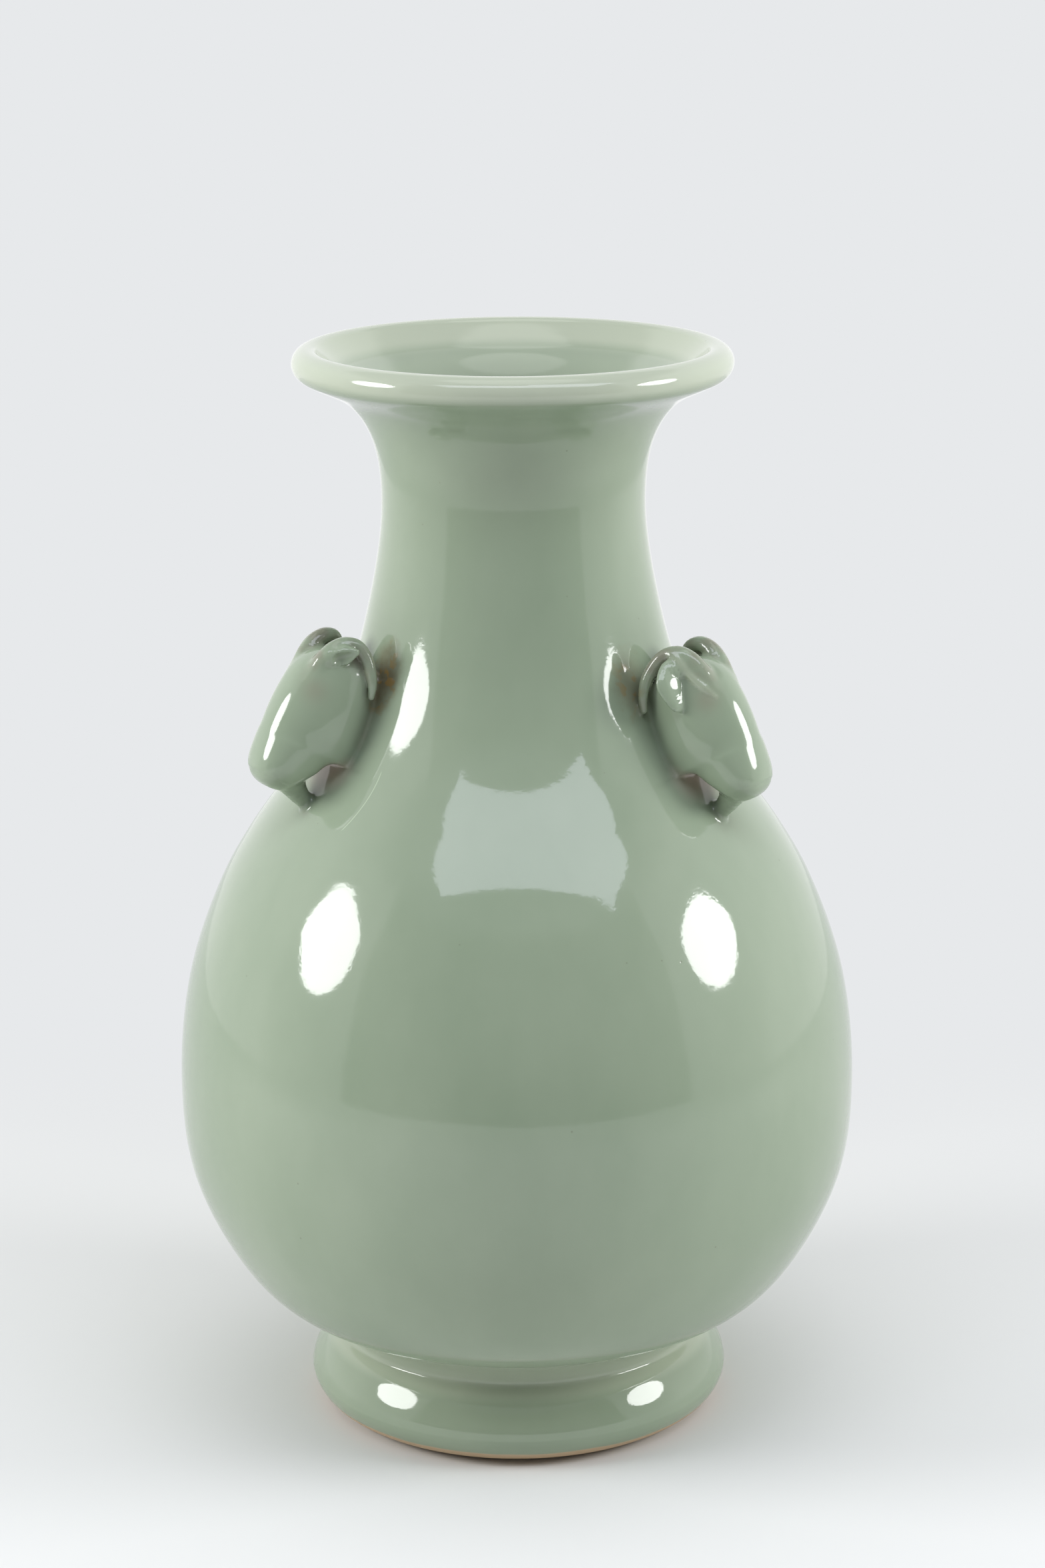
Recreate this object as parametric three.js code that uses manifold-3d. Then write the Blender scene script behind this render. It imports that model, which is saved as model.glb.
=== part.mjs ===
// Celadon vase with three ram's heads, in millimetres, +Z up, standing on z = 0 on the vase's axis.
// A pear-shaped body is thrown in sections and luted together with slip, then three moulded ram's
// heads, each with its own horns, ears and beard, are luted on the shoulder before glazing.
import * as THREE from 'three';
import { mergeVertices } from 'three/addons/utils/BufferGeometryUtils.js';
import Module from 'manifold-3d';

const wasm = await Module();
wasm.setup();

// Heights of the vase's sections, from the table up
const FOOT_HEIGHT = 22;
const LOWER_BODY_HEIGHT = 74;
const UPPER_BODY_HEIGHT = 120;
const NECK_HEIGHT = 52;
const MOUTH_HEIGHT = 32;

// Outer radii of the vase, over the glaze
const WAIST_RADIUS = 50.5;
const BELLY_RADIUS = 94;
const THROAT_RADIUS = 35.7;
const MOUTH_RADIUS = 59.2;

// Walls and lip
const WALL = 5;
const FLOOR_THICKNESS = 8;
const LIP_RADIUS = 4.3;
const FLARE_ANGLE = 30;

// Foot ring
const FOOT_RADIUS = 59;
const FOOT_EDGE_RADIUS = 47.5;
const FOOT_BULGE_HEIGHT = 9.8;
const FOOT_RING_WIDTH = 9.5;
const FOOT_EDGE_HEIGHT = 0.8;

// Ram's heads: the angle round the vase of each, how far down its slope the hand set it, and the
// place of the poll, which is the top of the head, from the neck's joint and from the neck's side.
// The face is this many degrees flatter than the shoulder beneath it.
const RAM_AZIMUTHS = { left: -62.5, right: 58, back: 178 };
const RAM_DROPS = { left: 0, right: 2.3, back: 1.2 };
const HEAD_LENGTH = 43.4;
const POLL_ABOVE_JOINT = 8;
const POLL_STANDOFF = 10;
const FACE_LEAN = 2.25;

// The gap that slip and glaze fill at a luted joint
const LUTE_GAP = 0.3;

// Facets
const LATHE_SEGMENTS = 48;
const HEAD_SIDES = 16;
const HORN_SIDES = 8;
const HEAD_RINGS = 17;
const OUTLINE_STEPS = 31;
const WAIST_STEPS = 3;

const radians = THREE.MathUtils.degToRad;
const TAU = Math.PI * 2;

// The outline of the thrown body

// Joints between the sections, and the crest of the lip
const bellyHeight = FOOT_HEIGHT + LOWER_BODY_HEIGHT;
const neckJoint = bellyHeight + UPPER_BODY_HEIGHT;
const mouthJoint = neckJoint + NECK_HEIGHT;
const crestHeight = mouthJoint + MOUTH_HEIGHT;

// The lip is a roll of clay whose crest is the vase's height and whose edge is the mouth's radius.
const lipCentre = new THREE.Vector2(MOUTH_RADIUS - LIP_RADIUS, crestHeight - LIP_RADIUS);

function onLip(degrees) {
  const a = radians(degrees);
  return new THREE.Vector2(
    lipCentre.x + LIP_RADIUS * Math.cos(a), lipCentre.y + LIP_RADIUS * Math.sin(a));
}

// A share of the way up from one height to another, and of the way out from one radius to another.
const mix = THREE.MathUtils.lerp;

// Outside of the body from the waist over the foot, where it springs steeply like a short neck, to
// the underside of the lip.
const throatHeight = mix(neckJoint, mouthJoint, 0.77);
const lipUnderside = onLip(FLARE_ANGLE - 90);
const outlineStations = [
  [WAIST_RADIUS, FOOT_HEIGHT],
  [mix(WAIST_RADIUS, BELLY_RADIUS, 0.04), mix(FOOT_HEIGHT, bellyHeight, 0.057)],
  [mix(WAIST_RADIUS, BELLY_RADIUS, 0.14), mix(FOOT_HEIGHT, bellyHeight, 0.112)],
  [mix(WAIST_RADIUS, BELLY_RADIUS, 0.435), mix(FOOT_HEIGHT, bellyHeight, 0.186)],
  [mix(WAIST_RADIUS, BELLY_RADIUS, 0.656), mix(FOOT_HEIGHT, bellyHeight, 0.319)],
  [mix(WAIST_RADIUS, BELLY_RADIUS, 0.934), mix(FOOT_HEIGHT, bellyHeight, 0.65)],
  [BELLY_RADIUS, bellyHeight],
  [mix(THROAT_RADIUS, BELLY_RADIUS, 0.945), mix(bellyHeight, neckJoint, 0.25)],
  [mix(THROAT_RADIUS, BELLY_RADIUS, 0.79), mix(bellyHeight, neckJoint, 0.465)],
  [mix(THROAT_RADIUS, BELLY_RADIUS, 0.54), mix(bellyHeight, neckJoint, 0.665)],
  [mix(THROAT_RADIUS, BELLY_RADIUS, 0.25), mix(bellyHeight, neckJoint, 0.865)],
  [mix(THROAT_RADIUS, BELLY_RADIUS, 0.1), mix(neckJoint, throatHeight, 0.15)],
  [THROAT_RADIUS, throatHeight],
  [mix(THROAT_RADIUS, lipUnderside.x, 0.1), mix(throatHeight, lipUnderside.y, 0.53)],
  [mix(THROAT_RADIUS, lipUnderside.x, 0.4), mix(throatHeight, lipUnderside.y, 0.81)],
  [lipUnderside.x, lipUnderside.y],
];

function outlineCurve() {
  const points = outlineStations.map(([r, z]) => new THREE.Vector3(r, z, 0));
  return new THREE.CatmullRomCurve3(points, false, 'centripetal');
}

// Shares of the way up the outline, in even steps of which the first is cut finer at the waist.
function outlineShares() {
  const shares = [];
  for (let i = 0; i < WAIST_STEPS; i += 1) {
    shares.push(i / WAIST_STEPS / OUTLINE_STEPS);
  }
  for (let i = 1; i <= OUTLINE_STEPS; i += 1) {
    shares.push(i / OUTLINE_STEPS);
  }
  return shares;
}

// Points up a side of the wall: offset 0 is the outside, and WALL is the inside.
function wallSide(offset) {
  const curve = outlineCurve();
  const side = [];
  for (const u of outlineShares()) {
    const p = curve.getPointAt(u);
    const t = curve.getTangentAt(u);
    side.push(new THREE.Vector2(p.x - offset * t.y, p.y + offset * t.x));
  }
  return side;
}

// The roll of the lip, from its underside over the crest to where it meets the inside of the flare.
function lipArc(grow = 0) {
  const arc = [];
  for (let degrees = FLARE_ANGLE - 90 + 30; degrees <= FLARE_ANGLE + 90; degrees += 30) {
    const p = onLip(degrees);
    arc.push(p.sub(lipCentre).setLength(LIP_RADIUS + grow).add(lipCentre));
  }
  return arc;
}

const outside = wallSide(0).concat(lipArc());
const inside = wallSide(WALL).concat([onLip(FLARE_ANGLE + 90)]);

// The radius of a side at a height.
function radiusAt(side, height) {
  const above = side.findIndex((p) => p.y >= height);
  const a = side[Math.max(above - 1, 0)];
  const b = side[above];
  return a === b ? b.x : mix(a.x, b.x, (height - a.y) / (b.y - a.y));
}

// The stretch of a side between two heights, with its ends cut level.
function stretch(side, low, high) {
  const within = side.filter((p) => p.y > low + 0.05 && p.y < high - 0.05);
  const bottom = new THREE.Vector2(radiusAt(side, low), low);
  const top = new THREE.Vector2(radiusAt(side, high), high);
  return [bottom, ...within, top];
}

// Solids

// A closed solid of revolution about +Z from a profile of radius and height, which runs outside
// upwards and inside downwards.
function turned(profile) {
  const geometry = new THREE.LatheGeometry(profile, LATHE_SEGMENTS);
  geometry.rotateX(Math.PI / 2);
  return geometry;
}

function closed(profile) {
  return [...profile, profile[0].clone()];
}

function ringSection(low, high) {
  const up = stretch(outside, low, high);
  const down = stretch(inside, low, high).reverse();
  return turned(closed([...up, ...down]));
}

// The foot is a thick turned ring: a straight inner face, and an outer one that swells like a
// cushion from the bare edge, where the glaze was wiped off, and draws in to the waist.
function footRing() {
  const inner = WAIST_RADIUS - FOOT_RING_WIDTH;
  const profile = [
    new THREE.Vector2(inner, 0),
    new THREE.Vector2(FOOT_EDGE_RADIUS, 0),
    new THREE.Vector2(FOOT_EDGE_RADIUS + FOOT_EDGE_HEIGHT, FOOT_EDGE_HEIGHT / 2),
  ];
  const lowerSteps = 7;
  for (let i = 1; i <= lowerSteps; i += 1) {
    const a = (i / lowerSteps) * (Math.PI / 2);
    profile.push(new THREE.Vector2(
      mix(FOOT_EDGE_RADIUS + FOOT_EDGE_HEIGHT, FOOT_RADIUS, Math.sin(a)),
      mix(FOOT_BULGE_HEIGHT, FOOT_EDGE_HEIGHT / 2, Math.cos(a))));
  }
  const upperSteps = 7;
  for (let i = 1; i <= upperSteps; i += 1) {
    const u = i / upperSteps;
    profile.push(new THREE.Vector2(
      mix(FOOT_RADIUS, WAIST_RADIUS, u ** 2.2), mix(FOOT_BULGE_HEIGHT, FOOT_HEIGHT, u)));
  }
  profile.push(new THREE.Vector2(inner, FOOT_HEIGHT));
  return turned(closed(profile));
}

// The lower half of the body is a bowl with a thick flat floor.
function lowerBody() {
  const floorTop = FOOT_HEIGHT + FLOOR_THICKNESS;
  const up = stretch(outside, FOOT_HEIGHT, bellyHeight);
  const bowl = stretch(inside, floorTop, bellyHeight).reverse();
  return turned([
    new THREE.Vector2(0, FOOT_HEIGHT), ...up, ...bowl, new THREE.Vector2(0, floorTop)]);
}

// The flared mouth ends in the rolled lip, so its profile goes over the crest.
function mouth() {
  const up = outside.filter((p) => p.y > mouthJoint + 0.05);
  const down = inside.filter((p) => p.y > mouthJoint + 0.05).reverse().slice(1);
  return turned(closed([
    new THREE.Vector2(radiusAt(outside, mouthJoint), mouthJoint),
    ...up,
    ...down,
    new THREE.Vector2(radiusAt(inside, mouthJoint), mouthJoint),
  ]));
}

// A skin over rings of points, closed by a point at each end.
function skin(rings, first, last) {
  const sides = rings[0].length;
  const points = [...rings.flat(), first, last];
  const faces = [];
  for (let i = 0; i + 1 < rings.length; i += 1) {
    for (let j = 0; j < sides; j += 1) {
      const a = i * sides + j;
      const b = i * sides + ((j + 1) % sides);
      faces.push(a, a + sides, b, b, a + sides, b + sides);
    }
  }
  const firstTip = rings.length * sides;
  const lastRing = (rings.length - 1) * sides;
  for (let j = 0; j < sides; j += 1) {
    const k = (j + 1) % sides;
    faces.push(firstTip, j, k);
    faces.push(firstTip + 1, lastRing + k, lastRing + j);
  }
  const geometry = new THREE.BufferGeometry();
  geometry.setAttribute('position', new THREE.Float32BufferAttribute(
    points.flatMap((p) => [p.x, p.y, p.z]), 3));
  geometry.setIndex(faces);
  return geometry;
}

function toSolid(geometry) {
  const bare = geometry.clone();
  bare.deleteAttribute('normal');
  bare.deleteAttribute('uv');
  const merged = mergeVertices(bare, 1e-4);
  return new wasm.Manifold(new wasm.Mesh({
    numProp: 3,
    vertProperties: Float32Array.from(merged.attributes.position.array),
    triVerts: Uint32Array.from(merged.index.array),
  }));
}

function toGeometry(solid) {
  const mesh = solid.getMesh();
  const geometry = new THREE.BufferGeometry();
  geometry.setAttribute('position', new THREE.Float32BufferAttribute(mesh.vertProperties, 3));
  geometry.setIndex(new THREE.Uint32BufferAttribute(mesh.triVerts, 1));
  return geometry;
}

// A tapered rod along a smooth path. Each section is an ellipse of two radii, the first one in the
// direction of flat, and grow makes a larger copy that cuts a neighbour with clearance.
function rod(path, radii, flat, sides, steps, grow = 0) {
  const curve = new THREE.CatmullRomCurve3(path, false, 'centripetal');
  const rings = [];
  for (let i = 0; i <= steps; i += 1) {
    const u = i / steps;
    const centre = curve.getPoint(u);
    const tangent = curve.getTangent(u);
    const side = new THREE.Vector3().crossVectors(tangent, flat).normalize();
    const up = new THREE.Vector3().crossVectors(side, tangent);
    const along = u * (radii.length - 1);
    const k = Math.min(Math.floor(along), radii.length - 2);
    const wide = mix(radii[k][0], radii[k + 1][0], along - k) + grow;
    const thick = mix(radii[k][1], radii[k + 1][1], along - k) + grow;
    const ring = [];
    for (let j = 0; j < sides; j += 1) {
      const a = (j / sides) * TAU;
      ring.push(centre.clone().addScaledVector(up, wide * Math.cos(a))
        .addScaledVector(side, -thick * Math.sin(a)));
    }
    rings.push(ring);
  }
  const startCap = curve.getTangent(0).multiplyScalar(-radii[0][1] * 0.6 - grow);
  const endCap = curve.getTangent(1).multiplyScalar(radii[radii.length - 1][1] * 0.6 + grow);
  return toSolid(skin(rings, path[0].clone().add(startCap), path[path.length - 1].clone().add(endCap)));
}

// The ram's head, in its own frame: +X points out from the vase's axis, and Y is across the face

// The face runs down and outwards from the poll, nearly as the shoulder beneath it does. Along is
// measured down the face, and rise is measured square to it, out from the vase.
const pollHeight = neckJoint + POLL_ABOVE_JOINT;
const pollRadius = radiusAt(outside, pollHeight) + POLL_STANDOFF;
const shoulderReach = radiusAt(outside, pollHeight - HEAD_LENGTH) - radiusAt(outside, pollHeight);
const faceSlope = Math.atan2(HEAD_LENGTH, shoulderReach) - radians(FACE_LEAN);

// Lengths on the head are in parts of its own length, of which there are 43.4.
const headPart = HEAD_LENGTH / 43.4;

let drop = 0;

function onFace(down, rise, across = 0) {
  const along = down * headPart + drop;
  const out = rise * headPart;
  return new THREE.Vector3(
    pollRadius + along * Math.cos(faceSlope) + out * Math.sin(faceSlope),
    across * headPart,
    pollHeight - along * Math.sin(faceSlope) + out * Math.cos(faceSlope));
}

// Pairs of radii along a horn, an ear or the beard.
function headRadii(pairs) {
  return pairs.map(([wide, thick]) => [wide * headPart, thick * headPart]);
}

// Sections of the head from poll to muzzle: along the face, rise of the forehead, depth of the
// throat below the face line, and half the width.
const HEAD_SECTIONS = [
  { along: 3.8, rise: 3.4, depth: 9.5, half: 5.4 },
  { along: 5.6, rise: 7, depth: 12.5, half: 8 },
  { along: 10, rise: 10, depth: 14.5, half: 10.2 },
  { along: 17, rise: 10.8, depth: 15.5, half: 11 },
  { along: 24, rise: 10.7, depth: 15.5, half: 10.8 },
  { along: 31, rise: 10, depth: 11.8, half: 9.8 },
  { along: 35.6, rise: 9.2, depth: 8, half: 8.7 },
  { along: 39.6, rise: 7.9, depth: 4.8, half: 7.5 },
  { along: 42.4, rise: 5.2, depth: 2.6, half: 5.4 },
];
const POLL_CAP = 3;
const MUZZLE_CAP = 43.4;
const SQUARENESS = 0.86;

// The sections between those above, along smooth curves.
function headSections() {
  const size = new THREE.CatmullRomCurve3(
    HEAD_SECTIONS.map((s) => new THREE.Vector3(s.rise, s.depth, s.half)), false, 'catmullrom', 0.5);
  const place = new THREE.CatmullRomCurve3(
    HEAD_SECTIONS.map((s) => new THREE.Vector3(s.along, 0, 0)), false, 'catmullrom', 0.5);
  const sections = [];
  for (let i = 0; i < HEAD_RINGS; i += 1) {
    const u = i / (HEAD_RINGS - 1);
    const { x: rise, y: depth, z: half } = size.getPoint(u);
    sections.push({ along: place.getPoint(u).x, rise, depth, half });
  }
  return sections;
}

function headSolid(grow = 0) {
  const rings = headSections().map((section) => {
    const ring = [];
    for (let j = 0; j < HEAD_SIDES; j += 1) {
      const a = (j / HEAD_SIDES) * TAU;
      const c = Math.sign(Math.cos(a)) * Math.abs(Math.cos(a)) ** SQUARENESS;
      const s = Math.sign(Math.sin(a)) * Math.abs(Math.sin(a)) ** SQUARENESS;
      const reach = (c > 0 ? section.rise : section.depth) + grow;
      ring.push(onFace(section.along, c * reach, s * (section.half + grow)));
    }
    return ring;
  });
  return toSolid(skin(rings, onFace(POLL_CAP - grow, 0), onFace(MUZZLE_CAP + grow, -0.6)));
}

// A horn springs from the brow, arches back over the ear and ends against the vase.
function hornSolid(hand, grow = 0) {
  const path = [
    onFace(11, 7.6, hand * 4.4),
    onFace(6, 7.9, hand * 5.2),
    onFace(2.4, 6, hand * 6),
    onFace(0.2, 2.8, hand * 6.9),
    onFace(-0.3, -1.1, hand * 8),
    onFace(1.4, -4.4, hand * 9.2),
    onFace(4.2, -7.1, hand * 10.2),
    onFace(7.4, -9.2, hand * 10.8),
    onFace(10.1, -10.4, hand * 10.8),
  ];
  const thickness = [2.8, 2.6, 2.4, 2.2, 2.1, 1.9, 1.6, 1.3, 0.8];
  const radii = headRadii(thickness.map((r) => [r, r]));
  return rod(path, radii, new THREE.Vector3(0, 1, 0), HORN_SIDES, 13, grow);
}

// An ear is a leaf that points up and back from the side of the head, inside the arch of the horn.
function earSolid(hand, grow = 0) {
  const path = [
    onFace(10.6, 4.4, hand * 6.8),
    onFace(7.4, 4, hand * 9.8),
    onFace(4.2, 2.6, hand * 11.6),
    onFace(1.3, 0.7, hand * 12.3),
  ];
  const radii = headRadii([[2.6, 1.4], [3.6, 1.4], [3, 1.1], [0.7, 0.6]]);
  return rod(path, radii, onFace(0.4, 1).sub(onFace(0, 0)), HORN_SIDES, 6, grow);
}

// The beard is a short strut from the chin down to the shoulder of the vase, which it meets a
// little below the muzzle.
function beardSolid() {
  const footHeight = onFace(MUZZLE_CAP, 0).z - 6.4 * headPart;
  const footRadius = radiusAt(outside, footHeight);
  const path = [
    onFace(37.2, -2.6),
    onFace(39.8, -6),
    new THREE.Vector3(footRadius + 0.8 * headPart, 0, footHeight + 2.6 * headPart),
    new THREE.Vector3(footRadius - 2 * headPart, 0, footHeight - 2.5 * headPart),
  ];
  const radii = headRadii([[5, 3.8], [4, 3.4], [2.5, 2.9], [2.4, 3]]);
  return rod(path, radii, new THREE.Vector3(1, 0, 0), HORN_SIDES, 8);
}

// The vase as one plain solid a lute gap larger, which trims whatever is luted onto it.
function vaseCutter() {
  const grown = wallSide(-LUTE_GAP).concat(lipArc(LUTE_GAP));
  const top = grown[grown.length - 1].y;
  const profile = [new THREE.Vector2(0, grown[0].y), ...grown, new THREE.Vector2(0, top)];
  return toSolid(turned(profile));
}

const CELADON = { color: 0x92a58c, roughness: 0.08, metalness: 0 };

function piece(name, geometry) {
  const flat = geometry.index ? geometry.toNonIndexed() : geometry;
  flat.computeVertexNormals();
  const mesh = new THREE.Mesh(flat, new THREE.MeshStandardMaterial(CELADON));
  mesh.name = name;
  return mesh;
}

const cutter = vaseCutter();

// One ram's head with its horns, ears and beard, each trimmed to what it is luted onto.
function ram(name) {
  drop = RAM_DROPS[name];
  const group = new THREE.Group();
  group.rotation.z = radians(RAM_AZIMUTHS[name] - 90);
  const add = (part, solid) => group.add(piece(`${name}_ram_${part}`, toGeometry(solid)));
  const headCutter = headSolid(LUTE_GAP);
  add('head', headSolid().subtract(cutter));
  add('beard', beardSolid().subtract(headCutter).subtract(cutter));
  for (const [side, hand] of [['left', -1], ['right', 1]]) {
    add(`${side}_horn`, hornSolid(hand).subtract(headCutter).subtract(cutter));
    add(`${side}_ear`, earSolid(hand).subtract(headCutter).subtract(hornSolid(hand, LUTE_GAP)));
  }
  return group;
}

const vase = new THREE.Group();
vase.add(
  piece('foot_ring', footRing()),
  piece('lower_body', lowerBody()),
  piece('upper_body', ringSection(bellyHeight, neckJoint)),
  piece('neck', ringSection(neckJoint, mouthJoint)),
  piece('mouth', mouth()),
);
for (const name of Object.keys(RAM_AZIMUTHS)) {
  vase.add(ram(name));
}

export default vase;
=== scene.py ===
import math

import bpy
import numpy as np
from mathutils import Matrix, Vector


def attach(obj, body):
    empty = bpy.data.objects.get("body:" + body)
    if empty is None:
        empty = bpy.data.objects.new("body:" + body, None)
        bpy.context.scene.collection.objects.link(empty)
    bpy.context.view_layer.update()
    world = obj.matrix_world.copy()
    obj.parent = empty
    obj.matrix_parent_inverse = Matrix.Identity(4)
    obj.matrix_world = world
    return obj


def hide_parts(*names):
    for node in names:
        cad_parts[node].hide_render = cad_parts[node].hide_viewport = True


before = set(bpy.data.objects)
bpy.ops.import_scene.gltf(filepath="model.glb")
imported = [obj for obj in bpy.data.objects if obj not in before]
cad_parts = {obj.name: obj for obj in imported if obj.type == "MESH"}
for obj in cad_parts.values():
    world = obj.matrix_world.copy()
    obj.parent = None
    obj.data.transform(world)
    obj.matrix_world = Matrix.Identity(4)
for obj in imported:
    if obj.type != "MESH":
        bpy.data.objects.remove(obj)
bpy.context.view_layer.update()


# The thrown body: pale grey stoneware, thrown on the wheel in sections that are luted together with
# slip and turned smooth, so the wall runs on through every joint. Lengths are in millimetres, as
# radius and height over the glaze.
MM = 0.001
FOOT_HEIGHT = 22
BELLY_HEIGHT = 96
NECK_JOINT = 216
MOUTH_JOINT = 268
WALL = 5
FLOOR_TOP = 30
OUTLINE = (
    (50.5, 22), (52.24, 26.22), (56.59, 30.29), (69.42, 35.76), (79.04, 45.61), (91.13, 70.1),
    (94, 96), (90.79, 126), (81.76, 151.8), (73.14, 167), (63.06, 181), (54.09, 194),
    (46.45, 208), (41.53, 222), (35.7, 256.04), (37.84, 275.09), (44.24, 285.15), (57.05, 291.98),
)
FOOT_EDGE = (48.3, 0.4)
FOOT_BULGE = (59, 9.3)
FOOT_UPPER_FACE = ((58.3, 12.3), (56.05, 16.4), (53.4, 19.7))
LIP_CENTRE = (54.9, 295.7)
LIP_RADIUS = 4.3
LIP_ROLL_DEGREES = (-59, 121)
INSIDE_LIP = (50, 294)
FLARE_FOOT = 280
FLARE_INSIDE_RADIUS = 47.5
FLOOR_CORNER = (48, FLOOR_TOP)
SECTION_STEP = 0.1
SEGMENTS = 256


def smooth_path(points, steps):
    """A centripetal curve through the points, with so many steps between each two."""
    p = np.array(points, float)
    p_all = np.vstack([2 * p[0] - p[1], p, 2 * p[-1] - p[-2]])
    gap = np.maximum(np.linalg.norm(np.diff(p_all, axis=0), axis=1) ** 0.5, 1e-4)
    t = np.linspace(0, 1, steps, endpoint=False)[:, None]
    spans = []
    for i in range(len(p) - 1):
        p0, p1, p2, p3 = p_all[i:i + 4]
        d0, d1, d2 = gap[i:i + 3]
        m1 = ((p1 - p0) / d0 - (p2 - p0) / (d0 + d1) + (p2 - p1) / d1) * d1
        m2 = ((p2 - p1) / d1 - (p3 - p1) / (d1 + d2) + (p3 - p2) / d2) * d1
        spans.append(p1 + m1 * t + (3 * (p2 - p1) - 2 * m1 - m2) * t**2
                     + (2 * (p1 - p2) + m1 + m2) * t**3)
    return np.vstack(spans + [p[-1:]])


def along(line):
    """How far along a line each of its points lies."""
    return np.concatenate([[0], np.cumsum(np.linalg.norm(np.diff(line, axis=0), axis=1))])


def respaced(line, spacing):
    """The same line with its points evenly spaced."""
    s = along(line)
    t = np.linspace(0, s[-1], max(2, int(round(s[-1] / spacing)) + 1))
    return np.stack([np.interp(t, s, line[:, k]) for k in range(line.shape[1])], axis=1)


def sideways(line):
    """Unit normals of an outline, to the right of the way it runs."""
    t = np.gradient(line, along(line), axis=0)
    n = np.stack([t[:, 1], -t[:, 0]], axis=1)
    return n / np.linalg.norm(n, axis=1)[:, None]


def softened(line, middle, reach, radius):
    """Eases a corner of an evenly spaced line, as glaze and a wet sponge do."""
    s = along(line)
    at = s[np.argmin(np.linalg.norm(line - np.array(middle), axis=1))]
    step = s[1] - s[0]
    half = int(3 * radius / step)
    kernel = np.exp(-0.5 * (np.arange(-half, half + 1) * step / radius) ** 2)
    kernel /= kernel.sum()
    held = np.pad(line, ((half, half), (0, 0)), mode="edge")
    eased = np.stack([np.convolve(held[:, k], kernel, "valid") for k in range(2)], axis=1)
    share = np.clip(1 - np.abs(s - at) / reach, 0, 1)[:, None]
    share = share * share * (3 - 2 * share)
    return line + (eased - line) * share


# The section runs from the foot's edge up the outside, over the lip, down the inside and along the
# floor to the middle
quarter = np.linspace(0, math.pi / 2, 30)[:, None]
low_foot = np.hstack([
    FOOT_EDGE[0] + (FOOT_BULGE[0] - FOOT_EDGE[0]) * np.sin(quarter),
    FOOT_BULGE[1] + (FOOT_EDGE[1] - FOOT_BULGE[1]) * np.cos(quarter)])
high_foot = smooth_path((FOOT_BULGE, *FOOT_UPPER_FACE, OUTLINE[0]), steps=30)[1:-1]
wall_line = smooth_path(OUTLINE, steps=60)
lip_angle = np.radians(np.arange(*LIP_ROLL_DEGREES, 2))[:, None]
lip = np.hstack([LIP_CENTRE[0] + LIP_RADIUS * np.cos(lip_angle),
                 LIP_CENTRE[1] + LIP_RADIUS * np.sin(lip_angle)])
inner_line = (wall_line - WALL * sideways(wall_line))[::-1]
under_lip = (inner_line[:, 0] < FLARE_INSIDE_RADIUS) | (inner_line[:, 1] < FLARE_FOOT)
inner_line = inner_line[under_lip & (inner_line[:, 1] > FLOOR_TOP)]
floor_line = np.stack([np.linspace(inner_line[-1, 0] - 0.5, 0, 60), np.full(60, FLOOR_TOP)], axis=1)
outer_line = np.vstack([low_foot, high_foot, wall_line, lip])
section = respaced(np.vstack([outer_line, inner_line, floor_line]), SECTION_STEP)
section = softened(section, OUTLINE[0], reach=5, radius=0.8)
section = softened(section, INSIDE_LIP, reach=7, radius=2.5)
section = softened(section, FLOOR_CORNER, reach=12, radius=4)
section_normals = sideways(section)
crest = int(np.argmax(section[:, 1]))
last = len(section) - 1


def joint(height, inside=False):
    """The place in the section where it passes a height, on its outside or its inside."""
    z = section[:, 1]
    if inside:
        return crest + int(np.argmax(z[crest:] < height))
    first = int(np.argmax(z > FOOT_BULGE[1]))
    return first + int(np.argmax(z[first:] > height))


def taken(first, last, spacing):
    """Every so many millimetres of the section from one place to another, both ends kept."""
    count = max(2, int(round((last - first) * SECTION_STEP / spacing)) + 1)
    return np.unique(np.round(np.linspace(first, last, count)).astype(int))


def turned(name, points, normals, flat_after, solid):
    """A closed solid of revolution with the section's own normals. Each place in flat_after starts
    a flat joint face, hidden in the wall or standing on the table."""
    angle = np.linspace(0, 2 * math.pi, SEGMENTS, endpoint=False)
    out = np.stack([np.sin(angle), -np.cos(angle), np.zeros(SEGMENTS)], axis=1)
    up = np.array([0, 0, 1.0])
    first, verts = [], []
    for r, z in points:
        first.append(len(verts))
        verts.extend([up * z] if r < 1e-6 else list(out * r + up * z))
    faces, corner_normals = [], []
    for i in range(len(points)):
        k = (i + 1) % len(points)
        poles = points[i][0] < 1e-6, points[k][0] < 1e-6
        if all(poles):
            continue
        step = points[k] - points[i]
        plain = np.array([step[1], -step[0]]) / np.linalg.norm(step)
        low, high = (plain, plain) if i in flat_after else (normals[i], normals[k])
        for j in range(SEGMENTS):
            j2 = (j + 1) % SEGMENTS
            ring = [(i, j, low), (i, j2, low), (k, j2, high), (k, j, high)]
            if poles[0]:
                ring.pop(1)
            if poles[1]:
                ring.pop(2)
            faces.append([first[a] + (0 if points[a][0] < 1e-6 else b) for a, b, _ in ring])
            corner_normals.extend(out[b] * n[0] + up * n[1] for _, b, n in ring)
    mesh = bpy.data.meshes.new(name)
    mesh.from_pydata([tuple(v * MM) for v in verts], [], faces)
    mesh.polygons.foreach_set("use_smooth", [True] * len(faces))
    mesh.normals_split_custom_set([tuple(n) for n in corner_normals])
    piece = bpy.data.objects.new(name, mesh)
    bpy.context.scene.collection.objects.link(piece)
    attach(piece, "root")
    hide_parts(solid)
    return piece


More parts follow.
